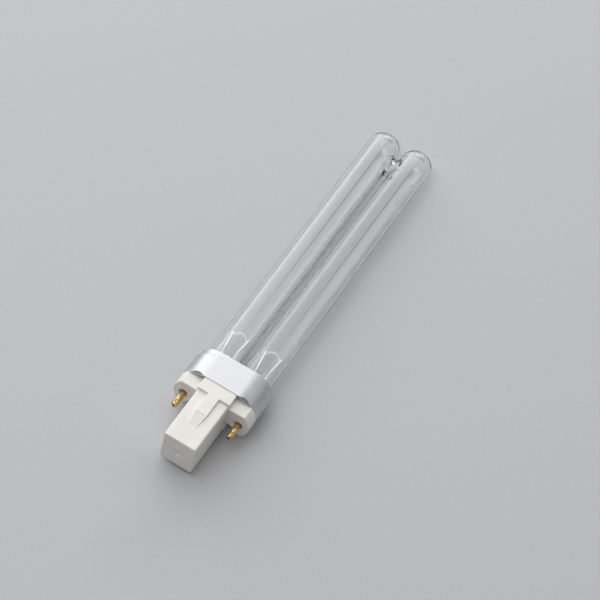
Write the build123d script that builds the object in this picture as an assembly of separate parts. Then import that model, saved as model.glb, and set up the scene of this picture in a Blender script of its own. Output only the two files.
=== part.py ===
from build123d import *
import math
import os

# Twin-tube germicidal lamp on a two-pin G23 base, in millimetres.
# Each piece is drawn about the lamp's own axis: Y runs from the base to the tube tips, X across the
# two legs, Z through the thickness, and Y = 0 is the face of the base that the contact pins leave.
# The whole lamp is then laid on its broad side, as it comes to rest on a table.

# Glass twin tube
leg_od = 12.4
leg_wall = 1.0
leg_spacing = 14.0
tip_y = 143.0
dome_h = 5.4
dome_knuckle = 4.0
bridge_y = 130.9
bridge_od = 7.4
bridge_wall = 1.2
bridge_flare = 1.6

# Press seal at the foot of each leg
seal_foot_y = 8.5
seal_flat = 6.0
seal_run = 5.5
seal_t = 4.0
seal_void_t = 0.7
seal_void_rise = 1.5
jaw_slope = 0.4
exhaust_od = 3.2
exhaust_bore = 1.4
exhaust_reach = 3.6
exhaust_round = 1.3

# Electrodes and lead-in wires
support_d = 0.8
support_low_y = 25.2
support_len = 7.3
support_low_x = 2.5
support_top_x = 3.3
lead_d = 0.5
lead_bend = 0.8
lead_drop = 0.8
coil_d = 1.0
coil_rise = 1.7
coil_back = 0.6
coil_tail_d = 0.3
coil_tail_over = 0.6
coil_gap = 0.15

# Aluminium sleeve
sleeve_t = 18.0
sleeve_low_y = 5.2
sleeve_h = 12.8
sleeve_wall = 0.5
sleeve_fit = 0.1
rim_h = 2.9
rim_step = 0.7
rim_round = 0.6
mouth_clear = 0.5
crimp_angle = 68.0
crimp_punch_r = 10.0
crimp_depth = 0.75
crimp_h = 0.75

# Moulded housing
ear_t = 12.4
ear_low_round = 1.6
ear_top_round = 0.4
ear_floor = 3.4
ear_notch_r = 3.6
ear_notch_off = 0.5
ear_notch_depth = 2.0
face_round = 0.35
bar_w = 13.4
bar_step = 0.3
neck_h = 2.0
plug_h = 3.8
cup_wall = 1.4
post_w = 13.0
post_t = 15.2
post_len = 22.5
post_wall = 1.3
post_end_wall = 1.8
post_round = 0.7
tongue_w = 4.5
tongue_len = 9.0
tongue_round = 0.6
ramp_len = 5.3
ramp_step = 0.2
ramp_foot_w = 3.2
gate_d = 3.6
gate_depth = 0.9

# Contact pins
pin_spacing = 23.0
pin_edge = 4.2
pin_d = 2.4
pin_reach = 6.7
pin_bore = 0.8
pin_shank_d = 2.8
pin_fit = 0.02
pin_tip_round = 0.45
pin_flange_clear = 0.4
pin_flange_t = 0.6
pin_recess_d = 3.8
pin_recess_depth = 0.8
dimple_r = 0.8
dimple_back = 1.7
dimple_depth = 0.45
lead_short = 2.4

# Glow starter, suppression capacitor and splices
starter_od = 7.6
starter_len = 16.0
starter_wall = 0.6
starter_dome = 3.4
starter_knuckle = 2.4
starter_seal = 3.4
starter_seal_t = 2.0
starter_void_t = 0.7
starter_run = 3.0
starter_end_gap = 1.5
starter_lead_x = 1.4
starter_lead_rise = 1.2
electrode_len = 7.6
bimetal_t = 0.25
bimetal_w = 2.0
bimetal_weld = 2.2
bimetal_len = 5.6
glow_gap = 0.2
seat_gap = 0.15
capacitor_w = 8.0
capacitor_t = 3.4
capacitor_len = 9.0
capacitor_top_y = -7.0
capacitor_round = 0.7
capacitor_lead_x = 2.5
capacitor_lead_in = 1.5
capacitor_lead_rise = 2.5
splice_x = 3.6
splice_low_y = 0.8
splice_len = 4.0
splice_wall = 0.3
splice_overlap = 3.1
splice_gap = 0.02

# Places that follow from the sizes above
leg_x = leg_spacing / 2
pin_x = pin_spacing / 2
pin_flange_d = 2 * (pin_edge - sleeve_wall - sleeve_fit - cup_wall - pin_flange_clear)
sleeve_w = pin_spacing + 2 * pin_edge
sleeve_top_y = sleeve_low_y + sleeve_h
sleeve_end_r = sleeve_t / 2
sleeve_end_x = (sleeve_w - sleeve_t) / 2
bar_t = sleeve_t - 2 * bar_step
neck_top_y = sleeve_low_y + neck_h
plug_top_y = neck_top_y + plug_h
seal_flat_top = seal_foot_y + seal_flat
seal_run_top = seal_flat_top + seal_run
support_top_y = support_low_y + support_len
coil_y = support_top_y - coil_back
coil_post_x = support_top_x - (support_top_x - support_low_x) * coil_back / support_len
post_room_t = post_t / 2 - post_wall
gate_r = (gate_d ** 2 / 4 + gate_depth ** 2) / (2 * gate_depth)
starter_foot_y = post_end_wall + starter_end_gap + starter_len - post_len
starter_z = post_room_t - seat_gap - starter_od / 2
capacitor_z = seat_gap + capacitor_t / 2 - post_room_t
splice_pitch = lead_d + splice_gap
splice_bore = 3 * lead_d + 4 * splice_gap
splice_end_y = splice_low_y + splice_overlap


def across(y):
    """Plane square to the lamp axis at height y: local x is X and local y is Z."""
    return Plane((0, y, 0), x_dir=(1, 0, 0), z_dir=(0, -1, 0))


def prism(section, low, top):
    """A section drawn across the axis, carried from y = low to y = top."""
    return extrude(across(top) * section, amount=top - low)


def rod(d, low, top, x=0, z=0):
    return prism(Pos(x, z) * Circle(d / 2), low, top)


def dome_rod(radius, low, top, dome, knuckle):
    """Round rod on the Y axis from y = low, closed by a dome: a knuckle arc, then a crown arc."""
    shoulder = top - dome
    inset = radius - knuckle
    crown = (inset ** 2 + dome ** 2 - knuckle ** 2) / (2 * (dome - knuckle))
    share = knuckle / (crown - knuckle)
    turn = (inset + inset * share, shoulder + (crown - dome) * share)
    outline = Polyline((0, top), (0, low), (radius, low), (radius, shoulder))
    outline += TangentArc((radius, shoulder), turn, tangent=(0, 1))
    outline += RadiusArc(turn, (0, top), -crown)
    return revolve(make_face(outline), Axis.Y)


def press_jaws(radius, low, flat_half, flat_top, run_top):
    """Pair of jaws that press a round rod flat up to flat_top and let it run out at run_top."""
    out = radius / 2
    run = Spline((flat_top, flat_half), (run_top, radius), tangents=[(1, 0), (1, jaw_slope)])
    end = (run_top + out, radius + out * jaw_slope)
    back = Polyline(
        (run_top, radius), end, (end[0], 2 * radius), (low - out, 2 * radius),
        (low - out, flat_half), (flat_top, flat_half),
    )
    jaw = extrude(Plane.YZ * make_face(run + back), amount=2 * radius, both=True)
    return jaw + mirror(jaw, Plane.XY)


def pressed_rod(radius, low, top, dome, knuckle, flat_half, flat_top, run_top):
    """Domed round rod whose lower end is pressed flat."""
    form = dome_rod(radius, low, top, dome, knuckle)
    return form - press_jaws(radius, low, flat_half, flat_top, run_top)


def wire(points, d, bend=lead_bend):
    """Round wire along straight runs that are joined by bends of one radius."""
    path = FilletPolyline(*points, radius=bend) if len(points) > 2 else Line(*points)
    return sweep(Plane(path @ 0, z_dir=path % 0) * Circle(d / 2), path)


def slot(inset):
    """Outline of the sleeve, drawn in by inset."""
    return SlotOverall(sleeve_w - 2 * inset, sleeve_t - 2 * inset)


def leg_outer():
    return pressed_rod(
        leg_od / 2, seal_foot_y, tip_y, dome_h, dome_knuckle,
        seal_t / 2, seal_flat_top, seal_run_top,
    )


def leg_void():
    """Room inside a leg, which closes to a slit in the press seal."""
    return pressed_rod(
        leg_od / 2 - leg_wall, seal_flat_top, tip_y - leg_wall, dome_h - leg_wall,
        dome_knuckle - leg_wall, seal_void_t / 2, seal_flat_top + seal_void_rise, seal_run_top + seal_void_rise,
    )


def bridge_outer():
    """Welded neck between the legs, waisted in the gap."""
    waist_r = bridge_od / 2
    root_r = waist_r + bridge_flare
    outline = ThreePointArc((-leg_x, root_r), (0, waist_r), (leg_x, root_r))
    outline += Polyline((leg_x, root_r), (leg_x, 0), (-leg_x, 0), (-leg_x, root_r))
    return Pos(0, bridge_y, 0) * revolve(make_face(outline), Axis.X)


def bridge_void():
    bore = extrude(Plane.YZ * Circle(bridge_od / 2 - bridge_wall), amount=leg_x, both=True)
    return Pos(0, bridge_y, 0) * bore


def both_legs(form):
    return Pos(-leg_x, 0, 0) * form + Pos(leg_x, 0, 0) * form


def exhaust_outer():
    """Sealed stub of the exhaust tube below the press seal of the right leg."""
    stub = rod(exhaust_od, seal_foot_y - exhaust_reach, seal_flat_top, x=leg_x)
    return fillet(stub.faces().sort_by(Axis.Y)[0].edges(), exhaust_round)


def exhaust_void():
    """Bore of the exhaust tube, from the slit in the seal to the melted end."""
    return rod(exhaust_bore, seal_foot_y - exhaust_reach + exhaust_round, seal_flat_top, x=leg_x)


def discharge_tube(leads):
    """The whole glass: two legs, bridge, press seals round the leads and the exhaust tip."""
    glass = both_legs(leg_outer()) + bridge_outer() + exhaust_outer()
    glass -= both_legs(leg_void()) + bridge_void()
    glass -= exhaust_void()
    for lead in leads:
        glass -= lead
    return glass


def filament(side):
    """Coated electrode coil, bowed towards the tip, with its tails through the support wires."""
    half = coil_post_x - support_d / 2 - coil_d / 2 - coil_gap
    bow = ThreePointArc((-half, coil_y), (0, coil_y + coil_rise), (half, coil_y))
    coil = sweep(Plane(bow @ 0, z_dir=bow % 0) * Circle(coil_d / 2), bow)
    tail_end = coil_post_x + coil_tail_over
    for turn in (-1, 1):
        coil += wire([(turn * half, coil_y, 0), (turn * tail_end, coil_y, 0)], coil_tail_d)
    return Pos(side * leg_x, 0, 0) * coil


def lead(side, place, coil):
    """Lead-in wire: thick support in the leg, thin wire through the seal and down into the base."""
    low_x = side * leg_x + place * support_low_x
    top_x = side * leg_x + place * support_top_x
    joint_y = support_low_y + support_d / 2
    turn_y = seal_foot_y - lead_drop
    if place == side:
        foot_x = side * pin_x
        foot_y = lead_short - pin_reach
    else:
        foot_x = side * splice_x
        foot_y = splice_low_y + splice_len - splice_overlap
    points = [(low_x, joint_y, 0), (low_x, turn_y, 0)]
    points += [(foot_x, turn_y - abs(foot_x - low_x), 0), (foot_x, foot_y, 0)]
    thin = wire(points, lead_d)
    support = wire([(low_x, support_low_y, 0), (top_x, support_top_y, 0)], support_d)
    return thin + support - coil


def sleeve_form(inset):
    """Outer form of the sleeve drawn in by inset: a slotted body, a stepped rim and four crimps."""
    shoulder_y = sleeve_top_y - rim_h - inset
    body = prism(slot(inset), sleeve_low_y, shoulder_y)
    body = fillet(body.faces().sort_by(Axis.Y)[-1].edges(), rim_round)
    rim = prism(slot(inset + rim_step), sleeve_low_y, sleeve_top_y - inset)
    body += fillet(rim.faces().sort_by(Axis.Y)[-1].edges(), rim_round)
    for side in (-1, 1):
        for face in (-1, 1):
            body -= crimp_punch(side, face, crimp_punch_r + inset)
    return body


def crimp_punch(side, face, radius):
    """Round punch, leaning outwards, that dents the sleeve's lower edge over an ear."""
    angle = math.radians(crimp_angle)
    out = Vector(side * math.cos(angle), 0, face * math.sin(angle))
    lean = out * crimp_depth + Vector(0, crimp_h, 0)
    centre = Vector(side * sleeve_end_x, sleeve_low_y, 0)
    centre += out * (sleeve_end_r - crimp_depth + crimp_punch_r * lean.length / crimp_h)
    return Plane(centre, z_dir=lean) * Cylinder(radius, 2 * sleeve_h)


def cap_sleeve():
    mouth = SlotOverall(
        leg_spacing + leg_od + 2 * mouth_clear, leg_od + 2 * mouth_clear
    )
    return sleeve_form(0) - sleeve_form(sleeve_wall) - prism(mouth, plug_top_y, sleeve_top_y)


def basing_cement(glass_outer):
    """Cement between glass, sleeve and housing, up to the turned-in rim."""
    fill = prism(Rectangle(sleeve_w, sleeve_t), plug_top_y, sleeve_top_y)
    return (sleeve_form(sleeve_wall) & fill) - glass_outer


def ear_section(inset, half_t):
    """Sleeve outline drawn in by inset and cut flat above and below the ears."""
    return slot(inset) & Rectangle(sleeve_w, 2 * half_t)


def ears():
    """Pin carriers on both sides of the post, with an arch in the underside beside the post."""
    section = ear_section(0, ear_t / 2)
    section = fillet(section.vertices().group_by(Axis.Y)[0], ear_low_round)
    section = fillet(section.vertices().group_by(Axis.Y)[-1], ear_top_round)
    form = prism(section, 0, sleeve_low_y)
    form = fillet(form.faces().sort_by(Axis.Y)[0].edges(), face_round)
    for side in (-1, 1):
        arch_x = side * (bar_w / 2 + ear_notch_off)
        form -= rod(2 * ear_notch_r, 0, ear_notch_depth, x=arch_x, z=-ear_t / 2)
    return form


def latch():
    """Raised tongue and run-in ramp on the upper broad face of the post."""
    face_z = post_t / 2
    top_z = bar_t / 2
    root_z = face_z - post_wall / 2
    ramp_end = tongue_len + ramp_len
    side_view = Polyline(
        (ear_floor, root_z), (ear_floor, top_z), (-tongue_len, top_z), (-tongue_len, root_z), close=True
    )
    side_view = make_face(side_view)
    side_view = fillet(side_view.vertices().sort_by(Axis.X)[:2].sort_by(Axis.Y)[-1], tongue_round)
    tongue = extrude(Plane.YZ * side_view, amount=tongue_w / 2, both=True)
    slope = Polyline(
        (-tongue_len + tongue_round, root_z), (-tongue_len + tongue_round, top_z - ramp_step),
        (-tongue_len, top_z - ramp_step), (-ramp_end, face_z), (-ramp_end, root_z), close=True
    )
    ramp = extrude(Plane.YZ * make_face(slope), amount=tongue_w / 2, both=True)
    plan = Polyline(
        (-tongue_w / 2, -tongue_len + tongue_round), (tongue_w / 2, -tongue_len + tongue_round),
        (ramp_foot_w / 2, -ramp_end), (-ramp_foot_w / 2, -ramp_end), close=True
    )
    return tongue + (ramp & extrude(make_face(plan), amount=bar_t))


def base_housing():
    """One moulding: ears, cross bar, plug inside the sleeve and hollow post with its two latches."""
    inner = sleeve_wall + sleeve_fit
    body = ears()
    bar = prism(RectangleRounded(bar_w, bar_t, face_round), 0, sleeve_low_y)
    body += fillet(bar.faces().sort_by(Axis.Y)[0].edges(), face_round / 2)
    body += prism(ear_section(inner, ear_t / 2 - sleeve_fit), sleeve_low_y, neck_top_y)
    body += prism(Rectangle(bar_w, sleeve_t - 2 * inner), sleeve_low_y, neck_top_y)
    body += prism(slot(inner), neck_top_y, plug_top_y)
    post = prism(RectangleRounded(post_w, post_t, post_round), -post_len, ear_floor)
    body += fillet(post.faces().sort_by(Axis.Y)[0].edges(), face_round)
    body += latch() + mirror(latch(), Plane.XY)

    cup = inner + cup_wall
    body -= prism(ear_section(cup, ear_t / 2 - cup_wall), ear_floor, plug_top_y)
    body -= prism(slot(cup), neck_top_y, plug_top_y)
    room = RectangleRounded(post_w - 2 * post_wall, post_t - 2 * post_wall, post_round)
    body -= prism(room, post_end_wall - post_len, plug_top_y)
    body -= Pos(0, gate_depth - post_len - gate_r, 0) * Sphere(gate_r)
    for side in (-1, 1):
        body -= rod(pin_shank_d + 2 * pin_fit, 0, ear_floor, x=side * pin_x)
        body -= rod(pin_recess_d, 0, pin_recess_depth, x=side * pin_x)
    return body


def contact_pin(side):
    """Hollow pin with a rounded tip, a punched dimple, a shank and a flange on the ear floor."""
    body = rod(pin_d, -pin_reach, ear_floor)
    body = fillet(body.faces().sort_by(Axis.Y)[0].edges(), pin_tip_round)
    body += rod(pin_shank_d, pin_recess_depth, ear_floor)
    body += rod(pin_flange_d, ear_floor, ear_floor + pin_flange_t)
    body -= rod(pin_bore, -pin_reach, ear_floor + pin_flange_t)
    dimple_z = pin_d / 2 + dimple_r - dimple_depth
    body -= Pos(0, dimple_back - pin_reach, dimple_z) * Sphere(dimple_r)
    return Pos(side * pin_x, 0, 0) * body


def starter_place():
    """Starter bulbs are drawn dome up from y = 0 and hang dome down in the post."""
    return Pos(0, starter_foot_y, starter_z) * Rot(0, 0, 180)


def starter_bulb(electrodes):
    radius = starter_od / 2
    outer = pressed_rod(
        radius, 0, starter_len, starter_dome, starter_knuckle,
        starter_seal_t / 2, starter_seal, starter_seal + starter_run,
    )
    void = pressed_rod(
        radius - starter_wall, starter_seal, starter_len - starter_wall, starter_dome - starter_wall,
        starter_knuckle - starter_wall, starter_void_t / 2,
        starter_seal + starter_wall, starter_seal + starter_wall + starter_run,
    )
    bulb = starter_place() * (outer - void)
    for electrode in electrodes:
        bulb -= electrode
    return bulb


def starter_lead(side, foot_y):
    """Lead from a splice through the starter's seal to y = foot_y."""
    top = (side * splice_x, splice_end_y, splice_pitch)
    bend = (side * splice_x, splice_low_y - lead_bend, splice_pitch)
    entry = (side * starter_lead_x, starter_foot_y + starter_lead_rise, starter_z)
    return wire([top, bend, entry, (side * starter_lead_x, foot_y, starter_z)], lead_d)


def starter_electrode():
    return starter_lead(1, starter_foot_y - starter_seal - electrode_len)


def starter_bimetal():
    """Bimetal strip, folded to a U, welded to its lead and sprung beside the fixed electrode."""
    weld_y = starter_foot_y - starter_seal - starter_run
    weld_x = -starter_lead_x - lead_d / 2
    free_x = starter_lead_x - lead_d / 2 - glow_gap - bimetal_t / 2
    fold_y = weld_y - bimetal_len
    fold_r = (free_x - weld_x) / 2
    path = Line((weld_x, weld_y), (weld_x, fold_y))
    path += ThreePointArc((weld_x, fold_y), (weld_x + fold_r, fold_y - fold_r), (free_x, fold_y))
    path += Line((free_x, fold_y), (free_x, fold_y + bimetal_len / 2))
    start = Plane((weld_x, weld_y, 0), x_dir=(1, 0, 0), z_dir=(0, -1, 0))
    strip = sweep(start * Rectangle(bimetal_t, bimetal_w), path)
    return starter_lead(-1, weld_y - bimetal_weld) + Pos(0, 0, starter_z) * strip


def capacitor_lead(side):
    """Lead from inside the capacitor up to its splice."""
    foot = (side * capacitor_lead_x, capacitor_top_y - capacitor_lead_in, capacitor_z)
    rise = (side * capacitor_lead_x, capacitor_top_y + capacitor_lead_rise, capacitor_z)
    bend = (side * splice_x, splice_low_y - lead_bend, -splice_pitch)
    return wire([foot, rise, bend, (side * splice_x, splice_end_y, -splice_pitch)], lead_d)


def capacitor_body(leads):
    section = RectangleRounded(capacitor_w, capacitor_t, capacitor_round)
    body = prism(Pos(0, capacitor_z) * section, capacitor_top_y - capacitor_len, capacitor_top_y)
    ends = body.faces().sort_by(Axis.Y)
    body = fillet(ends[0].edges() + ends[-1].edges(), capacitor_round / 2)
    for lead_wire in leads:
        body -= lead_wire
    return body


def splice(side):
    """Crimp ferrule round the tube lead, the starter lead and the capacitor lead."""
    outer = rod(splice_bore + 2 * splice_wall, splice_low_y, splice_low_y + splice_len, x=side * splice_x)
    return outer - rod(splice_bore, splice_low_y, splice_low_y + splice_len, x=side * splice_x)


def assemble():
    """All pieces by name, about the lamp's own axis."""
    pieces = {}
    for side, hand in ((-1, "left"), (1, "right")):
        coil = filament(side)
        pieces[f"filament_{hand}"] = coil
        pieces[f"lead_{hand}_outer"] = lead(side, side, coil)
        pieces[f"lead_{hand}_inner"] = lead(side, -side, coil)
        pieces[f"contact_pin_{hand}"] = contact_pin(side)
        pieces[f"capacitor_lead_{hand}"] = capacitor_lead(side)
        pieces[f"splice_{hand}"] = splice(side)
    leads = [piece for name, piece in pieces.items() if name.startswith("lead_")]
    pieces["discharge_tube"] = discharge_tube(leads)
    pieces["cap_sleeve"] = cap_sleeve()
    pieces["basing_cement"] = basing_cement(both_legs(leg_outer()))
    pieces["base_housing"] = base_housing()
    pieces["starter_electrode"] = starter_electrode()
    pieces["starter_bimetal"] = starter_bimetal()
    pieces["starter_bulb"] = starter_bulb([pieces["starter_electrode"], pieces["starter_bimetal"]])
    pieces["capacitor_body"] = capacitor_body([pieces["capacitor_lead_left"], pieces["capacitor_lead_right"]])
    return pieces


def rest_place(pieces):
    """Lays the lamp on its sleeve's heel and its tube tips, centred over the origin."""
    heel_y = sleeve_top_y - rim_h - rim_round
    toe_y = tip_y - dome_h
    tilt = math.degrees(math.atan2((sleeve_t - leg_od) / 2, toe_y - heel_y))
    turned = Rot(-tilt, 0, 0)
    box = Compound(children=[turned * piece for piece in pieces.values()]).bounding_box()
    return Pos(-box.center().X, -box.center().Y, -box.min.Z) * turned


lamp = assemble()
rest = rest_place(lamp)
os.makedirs("parts", exist_ok=True)
for name, piece in lamp.items():
    export_step(rest * piece, f"parts/{name}.step")
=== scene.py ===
import math

import bpy
import numpy as np
from mathutils import Matrix, Vector


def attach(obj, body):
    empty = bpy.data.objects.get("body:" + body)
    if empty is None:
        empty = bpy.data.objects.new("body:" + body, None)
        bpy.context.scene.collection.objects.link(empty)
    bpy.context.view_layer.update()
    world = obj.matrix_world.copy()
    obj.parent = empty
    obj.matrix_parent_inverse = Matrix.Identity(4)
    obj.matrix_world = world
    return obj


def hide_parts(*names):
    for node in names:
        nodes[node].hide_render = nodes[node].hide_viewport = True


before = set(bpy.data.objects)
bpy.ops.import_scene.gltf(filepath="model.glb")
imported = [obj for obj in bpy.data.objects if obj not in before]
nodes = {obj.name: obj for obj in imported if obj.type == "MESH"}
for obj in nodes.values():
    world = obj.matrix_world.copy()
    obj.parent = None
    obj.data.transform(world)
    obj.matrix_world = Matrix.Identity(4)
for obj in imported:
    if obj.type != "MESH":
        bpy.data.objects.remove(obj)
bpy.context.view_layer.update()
scene = bpy.context.scene
scene.view_settings.view_transform = "Standard"

# The lamp's own frame, in millimetres: Y from the base to the tube tips, X across the legs, and Y = 0 at
# the face that the pins leave. LAMP lays it on the floor, in metres.
MM = 0.001
LAMP_TILT = math.radians(-1.30301)
LAMP_SHIFT = Vector((0, -60.1528, 9.32844)) * MM
TURN = Matrix.Rotation(LAMP_TILT, 4, "X")
LAMP = Matrix.Translation(LAMP_SHIFT) @ TURN @ Matrix.Scale(MM, 4)

# Glass, in millimetres; JAW_SLOPE and JAW_SCALE are plain ratios
LEG_X = 7.0
LEG_R = 6.2
LEG_WALL = 1.0
TIP_Y = 143.0
DOME_H = 5.4
DOME_KNUCKLE = 4.0
TIP_LENS = 0.8
TIP_LENS_R = 2.2
TIP_DROP_R = 1.6
TIP_DROP_SINK = 2.2
TIP_DROP_MELT = 0.5
TIP_DIMPLE = 0.3
TIP_DIMPLE_R = 1.6
BRIDGE_Y = 130.9
BRIDGE_R = 3.7
BRIDGE_FLARE = 1.6
BRIDGE_BORE_R = 2.5
BRIDGE_MELT = 1.2
SEAL_FOOT_Y = 8.5
SEAL_FLAT_TOP = 14.5
SEAL_RUN_TOP = 20.0
SEAL_HALF = 2.0
SEAL_MELT = 0.6
SLIT_HALF = 0.35
SLIT_RISE = 1.5
SLIT_RUN_TOP = 20.0
JAW_SLOPE = 0.4
JAW_SCALE = 0.85
EXHAUST_R = 1.6
EXHAUST_BORE_R = 0.7
EXHAUST_LOW_Y = 4.9
EXHAUST_ROUND = 1.3

# Unevenness of the flame-worked glass, in millimetres: how deep it is and how far it reaches
BRIDGE_SKIN_MELT = 0.06
BRIDGE_ROOM_MELT = 0.30
BRIDGE_MELT_X = 4.5
BRIDGE_MELT_Y = 5.0
TIP_ROOM_MELT = 0.25
TIP_MELT_R = 3.5
TIP_MELT_Y = 4.0

# Grid that the glass is meshed on, in millimetres: fine at both ends, with few rows along the shafts
GRID = 0.42
FOOT_GRID_TOP = 27.0
TIP_GRID_LOW = 121.0
SHAFT_ROWS = 44

# How the points of that mesh are moved onto the surface
FIT_PASSES = 4
LONGEST_FIT = 0.3
LEAST_SQUARE = 0.05
SLOPE_STEP = 0.02

# Electrode coils, in millimetres: each end swells to full size over 1 / COIL_TAPER of the coil's length
COIL_Y = 31.9
COIL_HALF = 2.184
COIL_RISE = 1.7
COIL_R = 0.31
COIL_PITCH = 1.0
COIL_WIRE_R = 0.19
COIL_TAPER = 8
COIL_TURN_STEPS = 20
TAIL_X = 3.834
UPRIGHT = 0.95


def smooth_min(a, b, k):
    """Union of two distance fields with a fillet about k deep."""
    h = np.maximum(k - np.abs(a - b), 0) / k
    return np.minimum(a, b) - h * h * k / 4


def smooth_max(a, b, k):
    """Overlap of two distance fields with a fillet about k deep."""
    return -smooth_min(-a, -b, k)


def domed_rod(r, y, radius, top, dome, knuckle):
    """Distance to a round rod closed by a knuckle arc and a crown arc."""
    shoulder = top - dome
    inset = radius - knuckle
    crown = (inset ** 2 + dome ** 2 - knuckle ** 2) / (2 * (dome - knuckle))
    centre = top - crown
    side = r - radius
    corner = np.hypot(r - inset, y - shoulder) - knuckle
    cap = np.hypot(r, y - centre) - crown
    past = (r - inset) * (shoulder - centre) < inset * (y - shoulder)
    return np.where(y < shoulder, side, np.where(past, cap, corner))


def jaw_half(y, flat_half, flat_top, run_top, radius):
    """Half thickness that the press jaws leave at height y."""
    length = run_top - flat_top
    t = np.clip((y - flat_top) / length, 0, 1)
    rise = flat_half + (radius - flat_half) * (3 * t ** 2 - 2 * t ** 3)
    rise = rise + JAW_SLOPE * length * (t ** 3 - t ** 2)
    return rise + JAW_SLOPE * np.maximum(y - run_top, 0)


def leg(x, y, z, radius, low, top, dome, knuckle, flat_half, flat_top, run_top):
    """Distance to one leg, with its foot pressed flat."""
    form = domed_rod(np.hypot(x, z), y, radius, top, dome, knuckle)
    pressed = JAW_SCALE * (np.abs(z) - jaw_half(y, flat_half, flat_top, run_top, radius))
    form = smooth_max(form, pressed, SEAL_MELT)
    return smooth_max(form, low - y, SEAL_MELT)


def melt(x, y, z, centre_y, reach):
    """Gentle unevenness of flame-worked glass round height centre_y, from 0 to about 1."""
    wave = np.sin(1.9 * x + 0.7 * y) * np.sin(1.3 * z - 0.9 * y + 0.4 * x)
    wave = wave + 0.6 * np.sin(2.7 * y - 1.1 * x + 0.8) * np.sin(2.3 * z + 1.7)
    return (0.5 + 0.3 * wave) * np.exp(-((y - centre_y) / reach) ** 2)


def glass_field(x, y, z):
    """Distance to the whole glass: below 0 in the wall, above 0 in the open and in the hollow."""
    by_bridge = np.exp(-(x / BRIDGE_MELT_X) ** 2)
    by_pole = np.exp(-((np.abs(x) - LEG_X) ** 2 + z ** 2) / TIP_MELT_R ** 2)
    outer_melt = BRIDGE_SKIN_MELT * by_bridge * melt(x, y, z, BRIDGE_Y, BRIDGE_MELT_Y)
    inner_melt = BRIDGE_ROOM_MELT * by_bridge * melt(z, y, x, BRIDGE_Y, BRIDGE_MELT_Y)
    inner_melt = inner_melt + TIP_ROOM_MELT * by_pole * melt(x, y, z, TIP_Y, TIP_MELT_Y)
    near = np.minimum(np.abs(x), LEG_X)
    waist = BRIDGE_R + BRIDGE_FLARE * (near / LEG_X) ** 2
    neck = np.maximum(np.hypot(y - BRIDGE_Y, z) - waist, np.abs(x) - LEG_X)
    bore = np.maximum(np.hypot(y - BRIDGE_Y, z) - BRIDGE_BORE_R, np.abs(x) - LEG_X)
    outer = None
    hollow = None
    for side in (-1, 1):
        dx = x - side * LEG_X
        skin = leg(dx, y, z, LEG_R, SEAL_FOOT_Y, TIP_Y, DOME_H, DOME_KNUCKLE,
                   SEAL_HALF, SEAL_FLAT_TOP, SEAL_RUN_TOP)
        room = leg(dx, y, z, LEG_R - LEG_WALL, SEAL_FLAT_TOP, TIP_Y - LEG_WALL, DOME_H - LEG_WALL,
                   DOME_KNUCKLE - LEG_WALL, SLIT_HALF, SEAL_FLAT_TOP + SLIT_RISE, SLIT_RUN_TOP)
        off_pole = dx ** 2 + z ** 2
        by_tip = np.clip((y - TIP_Y + 2 * DOME_H) / DOME_H, 0, 1)
        skin = skin + by_tip * TIP_DIMPLE * np.exp(-off_pole / TIP_DIMPLE_R ** 2)
        room = room + by_tip * TIP_LENS * np.exp(-off_pole / TIP_LENS_R ** 2)
        drop = np.sqrt(off_pole + (y - TIP_Y + TIP_DROP_SINK) ** 2) - TIP_DROP_R
        room = smooth_max(room, -drop, TIP_DROP_MELT)
        outer = skin if outer is None else smooth_min(outer, skin, BRIDGE_MELT / 2)
        hollow = room if hollow is None else np.minimum(hollow, room)
    outer = smooth_min(outer, neck, BRIDGE_MELT)
    hollow = smooth_min(hollow, bore, BRIDGE_MELT)
    stub_r = np.hypot(x - LEG_X, z)
    stub = smooth_max(stub_r - EXHAUST_R, EXHAUST_LOW_Y - y, 2 * EXHAUST_ROUND)
    stub = np.maximum(stub, y - SEAL_FLAT_TOP)
    outer = smooth_min(outer, stub, SEAL_MELT)
    stub_bore = np.maximum(stub_r - EXHAUST_BORE_R, EXHAUST_LOW_Y + EXHAUST_ROUND - y)
    hollow = np.minimum(hollow, np.maximum(stub_bore, y - SEAL_FLAT_TOP - SLIT_RISE))
    return np.maximum(outer + outer_melt, -(hollow + inner_melt))


def net_faces(inside, index, axis):
    """Quads across the grid edges along one axis where the field changes sign."""
    order = [axis, (axis + 1) % 3, (axis + 2) % 3]
    solid = inside.transpose(order)
    cell = index.transpose(order)
    low = solid[:-1, 1:-1, 1:-1]
    i, j, k = np.nonzero(low != solid[1:, 1:-1, 1:-1])
    corners = [cell[i, j, k], cell[i, j + 1, k], cell[i, j + 1, k + 1], cell[i, j, k + 1]]
    quads = np.stack(corners, 1)
    away = low[i, j, k]
    return np.where(away[:, None], quads, quads[:, ::-1])


def gradient(field, points):
    """Slope of a field at each point, by central differences."""
    slopes = []
    for axis in range(3):
        nudge = np.zeros(3)
        nudge[axis] = SLOPE_STEP
        ahead = field(*(points + nudge).T)
        behind = field(*(points - nudge).T)
        slopes.append((ahead - behind) / (2 * SLOPE_STEP))
    return np.stack(slopes, 1)


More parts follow.
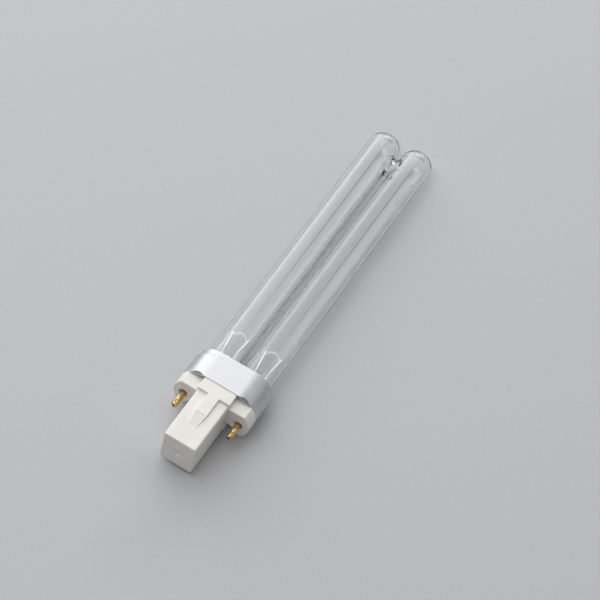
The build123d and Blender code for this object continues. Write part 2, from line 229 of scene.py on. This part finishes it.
def net_mesh(field, xs, ys, zs):
    """Smooth closed mesh on a field's zero surface: points, quads and normals, by surface nets."""
    axes = (xs, ys, zs)
    values = field(*np.meshgrid(*axes, indexing="ij"))
    inside = values < 0
    cells = tuple(n - 1 for n in values.shape)
    total = np.zeros(cells + (3,))
    count = np.zeros(cells)
    for axis in range(3):
        order = [axis, (axis + 1) % 3, (axis + 2) % 3]
        back = np.argsort(order)
        v = values.transpose(order)
        crossed = (v[:-1] < 0) != (v[1:] < 0)
        share = np.where(crossed, v[:-1] / np.where(crossed, v[:-1] - v[1:], 1), 0)
        a, b, c = (axes[o] for o in order)
        along = a[:-1, None, None] + share * np.diff(a)[:, None, None]
        for dj in (0, 1):
            for dk in (0, 1):
                rows = slice(dj, crossed.shape[1] - 1 + dj)
                columns = slice(dk, crossed.shape[2] - 1 + dk)
                hit = crossed[:, rows, columns]
                spots = [None, None, None]
                spots[order[0]] = along[:, rows, columns]
                spots[order[1]] = np.broadcast_to(b[rows][None, :, None], hit.shape)
                spots[order[2]] = np.broadcast_to(c[columns][None, None, :], hit.shape)
                found = np.stack(spots, -1) * hit[..., None]
                total += found.transpose(list(back) + [3])
                count += hit.transpose(back)
    active = count > 0
    points = total[active] / count[active][:, None]
    index = np.full(cells, -1)
    index[active] = np.arange(len(points))
    quads = np.concatenate([net_faces(inside, index, axis) for axis in range(3)])
    for _ in range(FIT_PASSES):
        slope = gradient(field, points)
        square = np.maximum((slope ** 2).sum(1), LEAST_SQUARE)
        move = np.clip(field(*points.T) / square, -LONGEST_FIT, LONGEST_FIT)
        points = points - slope * move[:, None]
    normals = gradient(field, points)
    return points, quads, normals / np.linalg.norm(normals, axis=1)[:, None]


def lamp_piece(name, points, faces, node, normals=None):
    """Object from points in the lamp's own frame; it stands for a CAD node and rides with the lamp."""
    mesh = bpy.data.meshes.new(name)
    mesh.from_pydata([LAMP @ Vector(p) for p in points], [], [list(map(int, f)) for f in faces])
    mesh.shade_smooth()
    if normals is not None:
        turned = np.asarray(normals) @ np.array(TURN.to_3x3()).T
        mesh.normals_split_custom_set_from_vertices([tuple(n) for n in turned])
    piece = bpy.data.objects.new(name, mesh)
    scene.collection.objects.link(piece)
    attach(piece, "root")
    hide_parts(node)


def twin_tube():
    """The blown glass, as one closed mesh."""
    xs = np.arange(-LEG_X - LEG_R - 2 * GRID, LEG_X + LEG_R + 3 * GRID, GRID)
    zs = np.arange(-LEG_R - 2 * GRID, LEG_R + 3 * GRID, GRID)
    foot = np.arange(EXHAUST_LOW_Y - 2 * GRID, FOOT_GRID_TOP, GRID)
    shaft = np.linspace(foot[-1] + 2 * GRID, TIP_GRID_LOW, SHAFT_ROWS)
    tip = np.arange(TIP_GRID_LOW + GRID, TIP_Y + 3 * GRID, GRID)
    ys = np.concatenate([foot, shaft, tip])
    points, quads, normals = net_mesh(glass_field, xs, ys, zs)
    lamp_piece("glass_twin_tube", points, quads, "discharge_tube", normals)


def tube_mesh(path, radius, sides=8):
    """Points and faces of a round wire along a path, with closed ends."""
    path = np.asarray(path)
    ahead = np.gradient(path, axis=0)
    ahead /= np.linalg.norm(ahead, axis=1)[:, None]
    upright = np.abs(ahead[:, 2:]) > UPRIGHT
    first = np.cross(ahead, np.where(upright, (0, 1, 0), (0, 0, 1)))
    first /= np.linalg.norm(first, axis=1)[:, None]
    second = np.cross(ahead, first)
    angle = np.linspace(0, 2 * math.pi, sides, endpoint=False)[None, :, None]
    ring = np.cos(angle) * first[:, None, :] + np.sin(angle) * second[:, None, :]
    points = (path[:, None, :] + radius * ring).reshape(-1, 3)
    faces = []
    for i in range(len(path) - 1):
        for j in range(sides):
            k = (j + 1) % sides
            faces.append((i * sides + j, i * sides + k, (i + 1) * sides + k, (i + 1) * sides + j))
    faces.append(tuple(range(sides))[::-1])
    faces.append(tuple((len(path) - 1) * sides + j for j in range(sides)))
    return points, faces


def electrode_coil(side, hand):
    """Bowed helix of coated wire with a straight tail through each support wire."""
    bow_r = (COIL_HALF ** 2 + COIL_RISE ** 2) / (2 * COIL_RISE)
    reach = math.asin(COIL_HALF / bow_r)
    turns = round(2 * reach * bow_r / COIL_PITCH)
    steps = turns * COIL_TURN_STEPS
    path = [(-TAIL_X, COIL_Y, 0), (-TAIL_X / 2 - COIL_HALF / 2, COIL_Y, 0)]
    for i in range(steps + 1):
        share = i / steps
        along = -reach + 2 * reach * share
        swell = min(1.0, COIL_TAPER * share, COIL_TAPER * (1 - share))
        turn = 2 * math.pi * turns * share
        out = bow_r + COIL_R * swell * math.cos(turn)
        path.append((out * math.sin(along), COIL_Y + COIL_RISE - bow_r + out * math.cos(along),
                     COIL_R * swell * math.sin(turn)))
    path += [(TAIL_X / 2 + COIL_HALF / 2, COIL_Y, 0), (TAIL_X, COIL_Y, 0)]
    points, faces = tube_mesh(path, COIL_WIRE_R)
    points = points + np.array((side * LEG_X, 0, 0))
    lamp_piece(f"electrode_coil_{hand}", points, faces, f"filament_{hand}")


# Colour sockets of a Mix node, by number, since its sockets share their names
MIX_A = 6
MIX_B = 7
MIX_RESULT = 2


class Look:
    """One procedural material, built node by node round a Principled shader."""

    def __init__(self, name, metallic=0.0):
        self.material = bpy.data.materials.new(name)
        self.material.use_nodes = True
        self.tree = self.material.node_tree
        self.shader = self.tree.nodes["Principled BSDF"]
        self.place = self.add("ShaderNodeTexCoord").outputs["Object"]
        self.set("Metallic", metallic)

    def add(self, kind, **inputs):
        node = self.tree.nodes.new(kind)
        for name, value in inputs.items():
            self.feed(node.inputs[name.replace("_", " ")], value)
        return node

    def feed(self, socket, value):
        if isinstance(value, bpy.types.NodeSocket):
            self.tree.links.new(value, socket)
        else:
            socket.default_value = value

    def set(self, name, value):
        self.feed(self.shader.inputs[name], value)

    def stretch(self, scale):
        """The object's own coordinates, scaled along each axis."""
        node = self.add("ShaderNodeMapping", Vector=self.place)
        node.inputs["Scale"].default_value = scale
        return node.outputs["Vector"]

    def noise(self, scale, detail, rough=0.5, vector=None):
        node = self.add(
            "ShaderNodeTexNoise", Vector=vector or self.place, Scale=scale, Detail=detail, Roughness=rough)
        return node.outputs["Fac"]

    def ramp(self, value, low, high, at=(0.3, 0.7)):
        """Value carried to the range between low and high, numbers or colours."""
        if isinstance(low, tuple):
            node = self.add("ShaderNodeValToRGB", Fac=value)
            ends = node.color_ramp.elements
            for end, colour, place in zip(ends, (low, high), at):
                end.color = (*colour, 1)
                end.position = place
            return node.outputs["Color"]
        node = self.add("ShaderNodeMapRange", Value=value)
        for name, number in zip(("From Min", "From Max", "To Min", "To Max"), (*at, low, high)):
            node.inputs[name].default_value = number
        return node.outputs["Result"]

    def bump(self, height, depth, strength, normal=None):
        node = self.add("ShaderNodeBump", Height=height)
        node.inputs["Strength"].default_value = strength
        node.inputs["Distance"].default_value = depth
        if normal is not None:
            self.feed(node.inputs["Normal"], normal)
        return node.outputs["Normal"]

    def by_angle(self, face_on, edge_on, at):
        """Colour that goes from one to the other as the surface turns edge on."""
        facing = self.add("ShaderNodeLayerWeight", Blend=0.5).outputs["Facing"]
        return self.ramp(facing, face_on, edge_on, at)

    def times(self, first, second):
        """Product of two colours."""
        node = self.add("ShaderNodeMix", Factor=1.0)
        node.data_type = "RGBA"
        node.blend_type = "MULTIPLY"
        self.feed(node.inputs[MIX_A], first)
        self.feed(node.inputs[MIX_B], second)
        return node.outputs[MIX_RESULT]

    def pass_lamps(self, face_on, edge_on, at=(0.0, 0.8)):
        """Lets lamp light through to what lies behind, and less of it at a glancing angle."""
        tint = self.by_angle(face_on, edge_on, at)
        through = self.add("ShaderNodeBsdfTransparent", Color=tint)
        path = self.add("ShaderNodeLightPath")
        mix = self.add("ShaderNodeMixShader", Fac=path.outputs["Is Shadow Ray"])
        self.tree.links.new(self.shader.outputs["BSDF"], mix.inputs[1])
        self.tree.links.new(through.outputs["BSDF"], mix.inputs[2])
        self.tree.links.new(mix.outputs["Shader"], self.tree.nodes["Material Output"].inputs["Surface"])

    def wear(self, *names):
        """Puts the material on nodes of the frame or on pieces of this scene."""
        for name in names:
            piece = nodes.get(name) or bpy.data.objects[name]
            piece.data.materials.clear()
            piece.data.materials.append(self.material)


def glass_look():
    look = Look("clear_glass")
    look.set("Transmission Weight", 1.0)
    look.set("IOR", 1.47)
    drawn = look.noise(700, 2.0, vector=look.stretch((1, 0.02, 1)))
    clear = look.ramp(drawn, (0.962, 0.972, 0.977), (0.99, 0.993, 0.995))
    # Base colour darkened towards grey where the glass turns edge on: painted shade along the tube edges,
    # standing in for the darker surroundings seen there
    painted_edge_shade = look.by_angle((1.0, 1.0, 1.0), (0.45, 0.48, 0.5), (0.6, 0.95))
    look.set("Base Color", look.times(clear, painted_edge_shade))
    look.set("Roughness", look.ramp(look.noise(90, 4.0), 0.0, 0.06, (0.45, 0.7)))
    look.pass_lamps((0.92, 0.925, 0.93), (0.2, 0.21, 0.22))
    return look


def aluminium_look():
    look = Look("satin_aluminium", metallic=1.0)
    lines = look.noise(2600, 3.0, vector=look.stretch((1, 0.03, 1)))
    cloud = look.noise(160, 4.0)
    look.set("Base Color", look.ramp(cloud, (0.57, 0.575, 0.595), (0.65, 0.653, 0.665)))
    look.set("Roughness", look.ramp(cloud, 0.38, 0.5))
    soft = look.bump(cloud, 0.00025, 0.25)
    look.set("Normal", look.bump(lines, 0.00003, 0.5, soft))
    return look


def plastic_look():
    look = Look("white_plastic")
    grain = look.noise(4200, 3.0)
    cloud = look.noise(110, 3.0)
    look.set("Base Color", look.ramp(cloud, (0.845, 0.822, 0.765), (0.895, 0.878, 0.832)))
    look.set("Roughness", look.ramp(grain, 0.36, 0.52))
    look.set("Subsurface Weight", 0.12)
    look.set("Subsurface Scale", 0.0012)
    soft = look.bump(cloud, 0.0002, 0.2)
    look.set("Normal", look.bump(grain, 0.00002, 0.6, soft))
    return look


def brass_look():
    look = Look("bright_brass", metallic=1.0)
    turning = look.noise(5200, 2.0, vector=look.stretch((0.04, 1, 0.04)))
    stain = look.noise(900, 4.0)
    look.set("Base Color", look.ramp(stain, (0.52, 0.34, 0.12), (0.77, 0.56, 0.26)))
    look.set("Roughness", look.ramp(stain, 0.26, 0.12))
    look.set("Normal", look.bump(turning, 0.00002, 0.5))
    return look


def nickel_look():
    look = Look("nickel_wire", metallic=1.0)
    drawn = look.noise(5000, 2.0, vector=look.stretch((1, 0.05, 1)))
    stain = look.noise(1300, 3.0)
    look.set("Base Color", look.ramp(stain, (0.68, 0.66, 0.63), (0.86, 0.84, 0.8)))
    look.set("Roughness", look.ramp(drawn, 0.16, 0.32))
    look.set("Normal", look.bump(drawn, 0.00001, 0.5))
    return look


def coil_look():
    look = Look("coated_tungsten")
    flakes = look.noise(2600, 4.0)
    look.set("Base Color", look.ramp(flakes, (0.74, 0.73, 0.72), (0.95, 0.945, 0.935), (0.3, 0.46)))
    look.set("Metallic", look.ramp(flakes, 0.8, 0.0, (0.32, 0.42)))
    look.set("Roughness", look.ramp(flakes, 0.25, 0.6))
    look.set("Normal", look.bump(flakes, 0.00006, 0.7))
    return look


def cement_look():
    look = Look("basing_cement")
    grains = look.noise(1500, 5.0, 0.6)
    look.set("Base Color", look.ramp(grains, (0.7, 0.685, 0.64), (0.86, 0.85, 0.82)))
    look.set("Roughness", 0.9)
    look.set("Normal", look.bump(grains, 0.0002, 0.6))
    return look


def bimetal_look():
    look = Look("bimetal_strip", metallic=1.0)
    rolled = look.noise(3000, 3.0, vector=look.stretch((1, 0.05, 1)))
    look.set("Base Color", look.ramp(rolled, (0.52, 0.48, 0.43), (0.68, 0.64, 0.58)))
    look.set("Roughness", look.ramp(rolled, 0.3, 0.46))
    look.set("Normal", look.bump(rolled, 0.00002, 0.5))
    return look


def capacitor_look():
    look = Look("dipped_shell")
    cloud = look.noise(300, 3.0)
    look.set("Base Color", look.ramp(cloud, (0.29, 0.12, 0.07), (0.42, 0.2, 0.11)))
    look.set("Roughness", look.ramp(cloud, 0.18, 0.32))
    look.set("Normal", look.bump(cloud, 0.0003, 0.4))
    return look


def floor_look():
    look = Look("pale_floor")
    grain = look.noise(900, 3.0)
    look.set("Base Color", look.ramp(grain, (0.54, 0.545, 0.56), (0.56, 0.565, 0.58)))
    look.set("Roughness", 0.6)
    look.set("Specular IOR Level", 0.2)
    return look


# Half the side of the floor, in metres
FLOOR_HALF = 4.0


def make_floor():
    """Plain pale floor far wider than the view."""
    mesh = bpy.data.meshes.new("floor")
    corners = [(FLOOR_HALF * x, FLOOR_HALF * y, 0) for x, y in ((-1, -1), (1, -1), (1, 1), (-1, 1))]
    mesh.from_pydata(corners, [], [(0, 1, 2, 3)])
    floor = bpy.data.objects.new("floor", mesh)
    scene.collection.objects.link(floor)
    floor.data.materials.append(floor_look().material)


# Soft boxes: name, place and size in metres, and power in watts
SOFT_BOXES = (
    ("key_box", (-0.8, 0.5, 0.95), 2.0, 2.0, 18.5),
    ("top_box", (0.85, 0.7, 1.0), 1.0, 1.8, 3.4),
    ("side_box", (-1.25, 0.85, 0.36), 0.9, 0.55, 1.5),
    ("front_box", (-0.2, -0.5, 1.3), 0.8, 0.5, 4.0),
    ("back_box", (-0.2, 1.35, 0.55), 0.9, 0.14, 3.6),
)
STUDIO_COLOUR = (0.82, 0.82, 0.84, 1)
STUDIO_STRENGTH = 0.2


def soft_box(name, place, width, height, power):
    """Area light that looks at the middle of the lamp."""
    light = bpy.data.lights.new(name, "AREA")
    light.shape = "RECTANGLE"
    light.size = width
    light.size_y = height
    light.energy = power
    lamp = bpy.data.objects.new(name, light)
    lamp.location = place
    lamp.rotation_euler = (-Vector(place)).to_track_quat("-Z", "Y").to_euler()
    scene.collection.objects.link(lamp)


def make_lights():
    """Soft boxes in an even, pale studio."""
    for box in SOFT_BOXES:
        soft_box(*box)
    world = bpy.data.worlds.new("studio")
    world.use_nodes = True
    scene.world = world
    background = world.node_tree.nodes["Background"]
    background.inputs["Color"].default_value = STUDIO_COLOUR
    background.inputs["Strength"].default_value = STUDIO_STRENGTH


# Camera, fitted to the photograph in the lamp's own frame, in millimetres and pixels of the image
VIEW_AZIMUTH = math.radians(18.0367)
VIEW_ELEVATION = math.radians(55.5792)
VIEW_ROLL = math.radians(15.2505)
VIEW_DISTANCE = 1259.329
VIEW_FOCAL = 3461.675
VIEW_TARGET = Vector((0, 50, 0))
VIEW_PIXEL = (281.851, 313.753)
IMAGE_SIZE = 600
SENSOR = 36.0


def make_camera():
    """Camera that sees the lamp as the photograph does."""
    back = Vector((math.sin(VIEW_AZIMUTH) * math.cos(VIEW_ELEVATION),
                   -math.cos(VIEW_AZIMUTH) * math.cos(VIEW_ELEVATION), math.sin(VIEW_ELEVATION)))
    level = Vector((math.cos(VIEW_AZIMUTH), math.sin(VIEW_AZIMUTH), 0))
    steep = back.cross(level)
    right = math.cos(VIEW_ROLL) * level + math.sin(VIEW_ROLL) * steep
    up = math.cos(VIEW_ROLL) * steep - math.sin(VIEW_ROLL) * level
    scale = VIEW_DISTANCE / VIEW_FOCAL
    place = VIEW_TARGET + back * VIEW_DISTANCE
    place -= right * (VIEW_PIXEL[0] - IMAGE_SIZE / 2) * scale
    place += up * (VIEW_PIXEL[1] - IMAGE_SIZE / 2) * scale
    facing = Matrix((right, up, back)).transposed().to_4x4()
    data = bpy.data.cameras.new("camera")
    data.sensor_width = SENSOR
    data.lens = VIEW_FOCAL * SENSOR / IMAGE_SIZE
    data.clip_start = 0.01
    data.clip_end = 20
    camera = bpy.data.objects.new("camera", data)
    camera.matrix_world = Matrix.Translation(LAMP @ place) @ TURN @ facing
    scene.collection.objects.link(camera)
    scene.camera = camera


twin_tube()
for side, hand in ((-1, "left"), (1, "right")):
    electrode_coil(side, hand)

glass_look().wear("glass_twin_tube", "starter_bulb")
aluminium_look().wear("cap_sleeve")
plastic_look().wear("base_housing")
brass_look().wear("contact_pin_left", "contact_pin_right", "splice_left", "splice_right")
nickel_look().wear(
    "lead_left_outer", "lead_left_inner", "lead_right_inner", "lead_right_outer",
    "starter_electrode", "capacitor_lead_left", "capacitor_lead_right")
coil_look().wear("electrode_coil_left", "electrode_coil_right")
cement_look().wear("basing_cement")
bimetal_look().wear("starter_bimetal")
capacitor_look().wear("capacitor_body")

make_floor()
make_lights()
make_camera()
